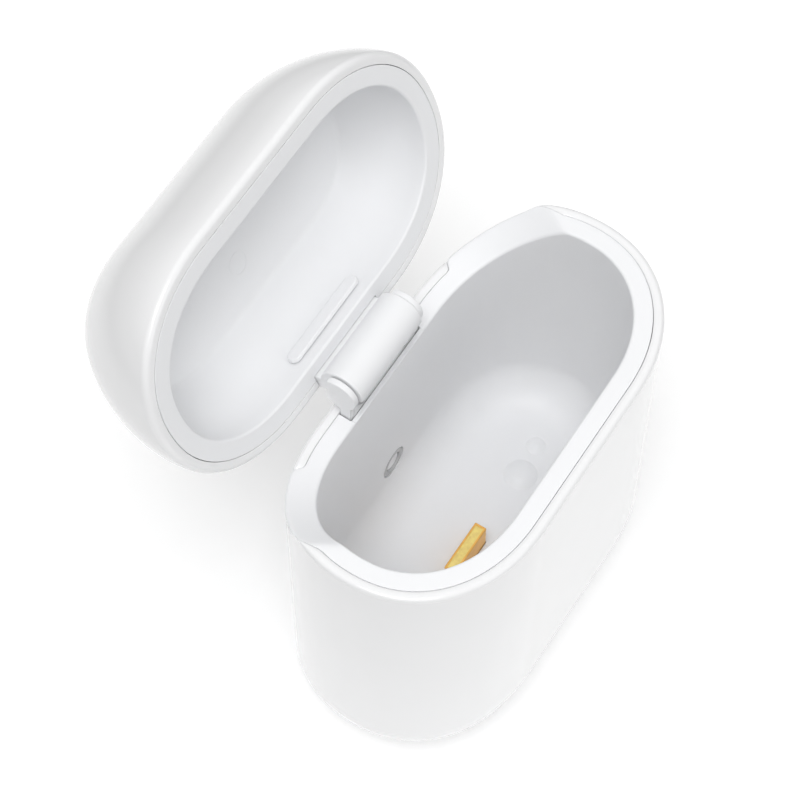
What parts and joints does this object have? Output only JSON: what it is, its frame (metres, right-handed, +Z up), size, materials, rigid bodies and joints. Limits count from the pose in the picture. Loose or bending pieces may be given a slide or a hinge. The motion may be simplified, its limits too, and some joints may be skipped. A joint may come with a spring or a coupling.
{
  "type": "wireless earbuds case",
  "caption": "Pocket charging case for wireless earbuds, rounded stadium body with a deep empty well, a hinged domed lid and a button in the rear wall.",
  "frame": {"origin": "middle of the flat underside of the base", "axes": "+X along the case's long side, +Y towards the hinge side, +Z up, with the lid standing open"},
  "size_m": [0.0424, 0.0444, 0.0545],
  "materials": {
    "gloss_white": "high gloss moulded",
    "satin_white": "satin moulded",
    "cavity_white": "satin moulded",
    "gold": "polished gold plate",
    "steel": "turned",
    "magnet_nickel": "nickel plate",
    "black_plastic": "matte",
    "board_green": "solder mask",
    "battery_foil": "laminate foil",
    "flex_amber": "polyimide film"
  },
  "bodies": {
    "base": {"base_outer_shell": "gloss_white", "base_liner": "satin_white", "hinge_bracket": "satin_white", "hinge_pin": "steel", "bracket_screw_left": "steel", "bracket_screw_right": "steel", "setup_button_ring": "satin_white", "button_switch": "steel", "button_flex": "flex_amber", "charge_contact": "gold", "port_bezel": "satin_white", "port_shell": "steel", "port_tongue": "black_plastic", "main_board": "board_green", "board_screw_left": "steel", "board_screw_right": "steel", "battery_left": "battery_foil", "battery_right": "battery_foil", "lid_sensor": "black_plastic", "base_magnet_left": "magnet_nickel", "base_magnet_right": "magnet_nickel"},
    "lid": {"lid_outer_shell": "gloss_white", "lid_liner": "cavity_white", "lid_hinge_cover": "cavity_white", "hinge_knuckle": "satin_white", "lid_magnet_left": "magnet_nickel", "lid_magnet_right": "magnet_nickel"},
    "button": {"setup_button": "satin_white"}
  },
  "joints": [
    {"name": "lid_hinge", "type": "hinge", "parent": "base", "child": "lid", "pos_m": [0, 0.01095, 0.035], "axis": [1, 0, 0], "range_deg": [0, 113.9]},
    {"name": "setup_button_press", "type": "slide", "parent": "base", "child": "button", "axis": [0, 1, 0], "range_m": [0, 0.00025], "stiffness_N_per_m": 1200}
  ]
}
